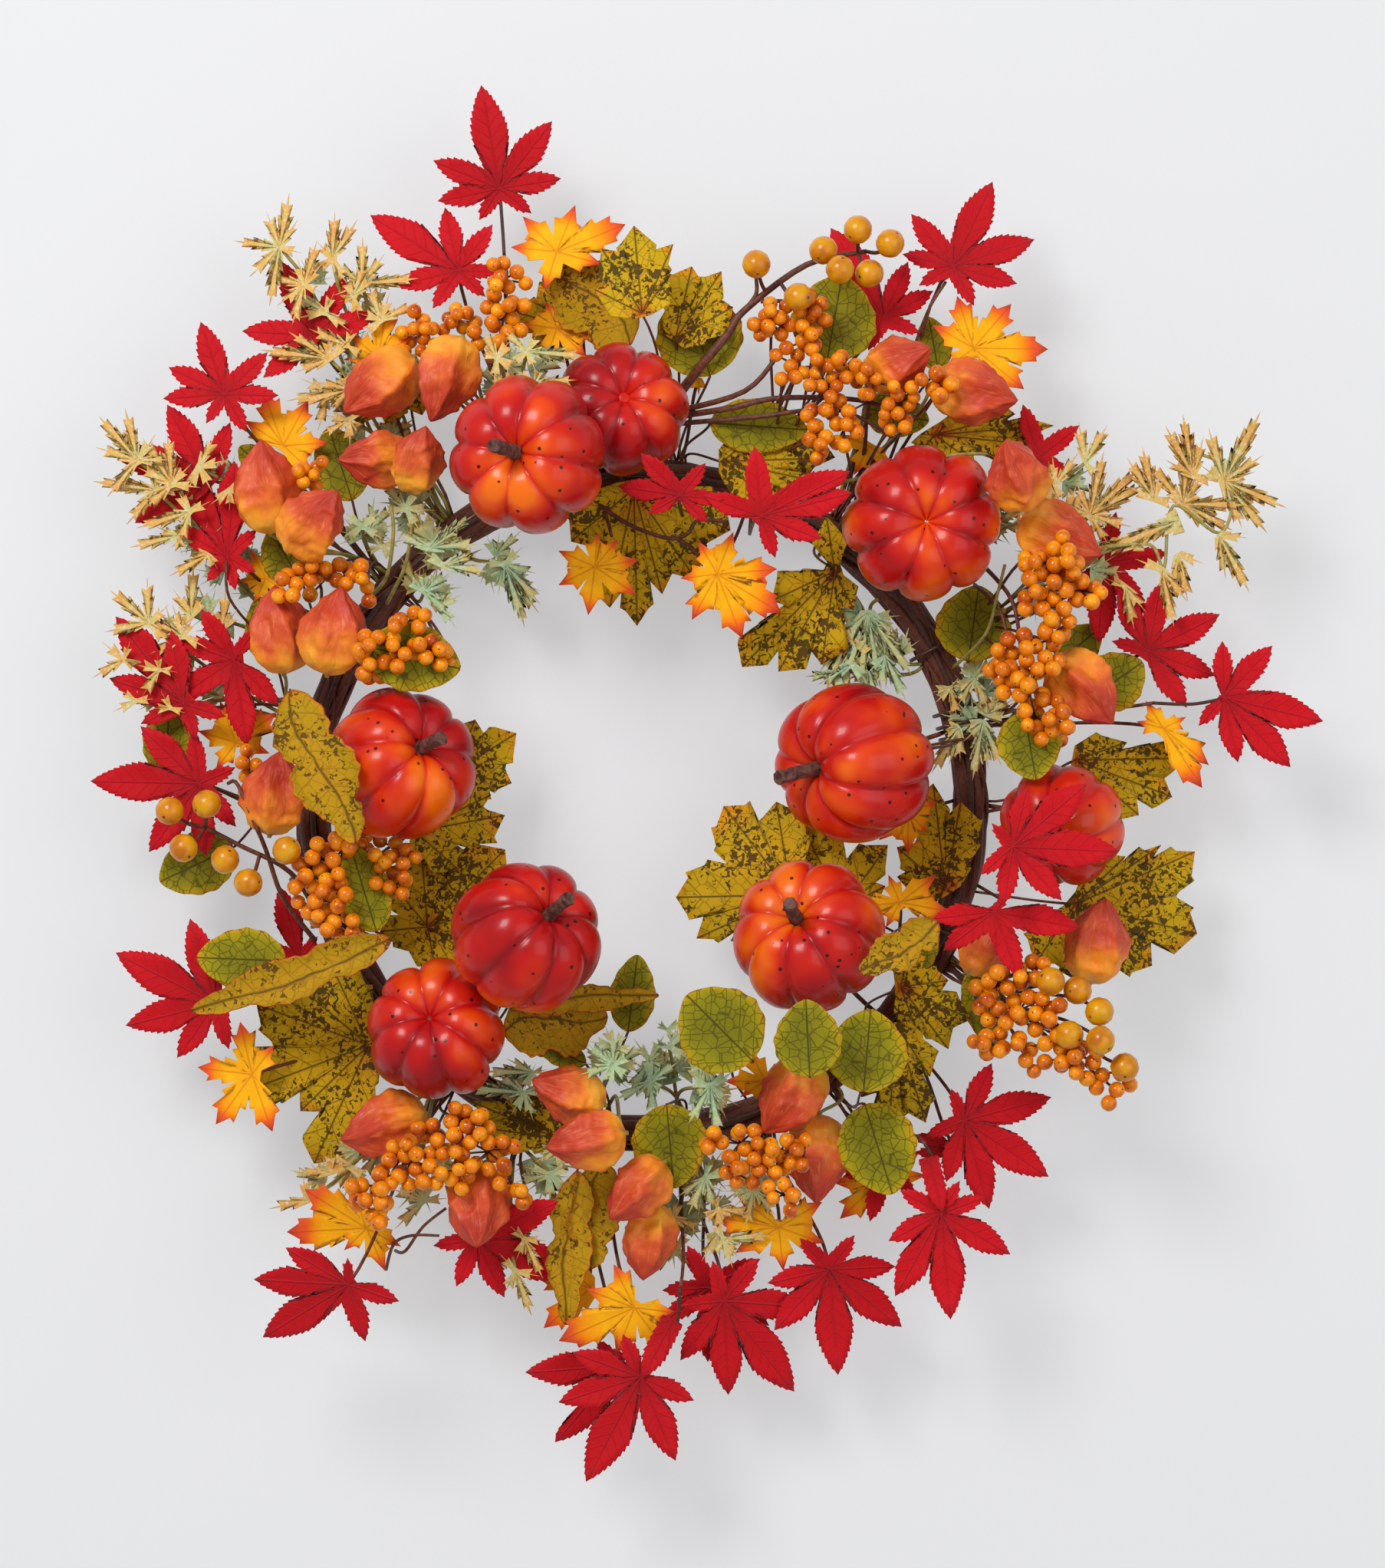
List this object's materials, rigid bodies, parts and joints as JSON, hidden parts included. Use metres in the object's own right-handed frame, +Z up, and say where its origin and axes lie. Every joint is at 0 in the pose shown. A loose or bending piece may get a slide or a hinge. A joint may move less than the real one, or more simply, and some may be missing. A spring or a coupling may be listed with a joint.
{
  "type": "harvest door wreath",
  "caption": "Round vine wreath that hangs on a door, dressed with pumpkins, fabric leaves, lantern pods and berries on bendable wires.",
  "frame": {"origin": "where the hook sits, at the top of the inside of the hanging loop", "axes": "+X to the right, +Z up, the front of the wreath faces -Y"},
  "size_m": [0.538, 0.1432, 0.608],
  "materials": {
    "vine": "rough bark",
    "dark_wire": "matt",
    "wrap_wire": "satin",
    "clip_metal": "satin",
    "loop_steel": "satin",
    "pumpkin_skin": "glossy, speckled",
    "stem_foam": "rough",
    "red_fabric": "woven",
    "orange_fabric": "woven",
    "speckled_fabric": "woven, printed",
    "round_fabric": "woven, printed",
    "rolled_fabric": "woven",
    "frosted_plastic": "frosted",
    "lantern_paper": "wrinkled",
    "small_berry_gloss": "glossy",
    "large_berry_satin": "satin"
  },
  "bodies": {
    "wreath": {"berries_bottom_left": "small_berry_gloss", "berries_bottom_right": "small_berry_gloss", "berries_top_left": "small_berry_gloss", "berries_top_right": "small_berry_gloss", "cane_wraps": "wrap_wire", "frosted_sprigs_bottom_left": "frosted_plastic", "frosted_sprigs_bottom_right": "frosted_plastic", "frosted_sprigs_top_left": "frosted_plastic", "frosted_sprigs_top_right": "frosted_plastic", "hanger_clip": "clip_metal", "large_berries_left": "large_berry_satin", "large_berries_right": "large_berry_satin", "orange_leaves_bottom_left": "orange_fabric", "orange_leaves_bottom_right": "orange_fabric", "orange_leaves_top_left": "orange_fabric", "orange_leaves_top_right": "orange_fabric", "pods_bottom_left": "lantern_paper", "pods_bottom_right": "lantern_paper", "pods_top_left": "lantern_paper", "pods_top_right": "lantern_paper", "pumpkin_1": "pumpkin_skin", "pumpkin_2": "pumpkin_skin", "pumpkin_3": "pumpkin_skin", "pumpkin_5": "pumpkin_skin", "pumpkin_6": "pumpkin_skin", "pumpkin_7": "pumpkin_skin", "pumpkin_8": "pumpkin_skin", "pumpkin_9": "pumpkin_skin", "red_leaves_bottom_left": "red_fabric", "red_leaves_bottom_right": "red_fabric", "red_leaves_top_left": "red_fabric", "red_leaves_top_right": "red_fabric", "rolled_leaves": "rolled_fabric", "round_leaves_left": "round_fabric", "round_leaves_right": "round_fabric", "speckled_leaves_bottom_left": "speckled_fabric", "speckled_leaves_bottom_right": "speckled_fabric", "speckled_leaves_top_left": "speckled_fabric", "speckled_leaves_top_right": "speckled_fabric", "spine_wire": "dark_wire", "stem_1": "stem_foam", "stem_6": "stem_foam", "stem_7": "stem_foam", "stem_9": "stem_foam", "vine_canes": "vine", "wires_bottom_left": "dark_wire", "wires_bottom_right": "dark_wire", "wires_top_left": "dark_wire", "wires_top_right": "dark_wire"},
    "red_leaf_top": {"red_leaf_top": "red_fabric"},
    "red_leaf_right": {"red_leaf_right": "red_fabric"},
    "red_leaf_bottom": {"red_leaf_bottom": "red_fabric"},
    "red_leaf_low_right": {"red_leaf_low_right": "red_fabric"},
    "frosted_sprig": {"frosted_sprig_right": "frosted_plastic"},
    "swinging_pumpkin": {"pumpkin_4": "pumpkin_skin", "stem_4": "stem_foam", "pumpkin_4_wire": "dark_wire"},
    "hanger": {"hanger_loop": "loop_steel"}
  },
  "joints": [
    {"name": "hanger_swing", "type": "hinge", "parent": "wreath", "child": "hanger", "pos_m": [0, 0, -0.014], "axis": [1, 0, 0], "range_deg": [0, 45]},
    {"name": "red_leaf_top_bend", "type": "hinge", "parent": "wreath", "child": "red_leaf_top", "pos_m": [-0.06, -0.0389, 0.075], "axis": [1, 0, 0], "range_deg": [0, 35]},
    {"name": "red_leaf_right_bend", "type": "hinge", "parent": "wreath", "child": "red_leaf_right", "pos_m": [0.223, -0.045, -0.121], "axis": [0, 0, -1], "range_deg": [0, 35]},
    {"name": "red_leaf_bottom_bend", "type": "hinge", "parent": "wreath", "child": "red_leaf_bottom", "pos_m": [0.017, -0.0528, -0.375], "axis": [-0.9167, 0, 0.3996], "range_deg": [0, 30]},
    {"name": "red_leaf_low_right_bend", "type": "hinge", "parent": "wreath", "child": "red_leaf_low_right", "pos_m": [0.123, -0.0608, -0.312], "axis": [-0.9738, 0, -0.2272], "range_deg": [0, 30]},
    {"name": "frosted_sprig_bend", "type": "hinge", "parent": "wreath", "child": "frosted_sprig", "pos_m": [0.203, -0.0441, -0.053], "axis": [0, 0, -1], "range_deg": [0, 25]},
    {"name": "swinging_pumpkin_bend", "type": "hinge", "parent": "wreath", "child": "swinging_pumpkin", "pos_m": [0.136, -0.0604, -0.139], "axis": [0, 0, 1], "range_deg": [0, 12]}
  ]
}
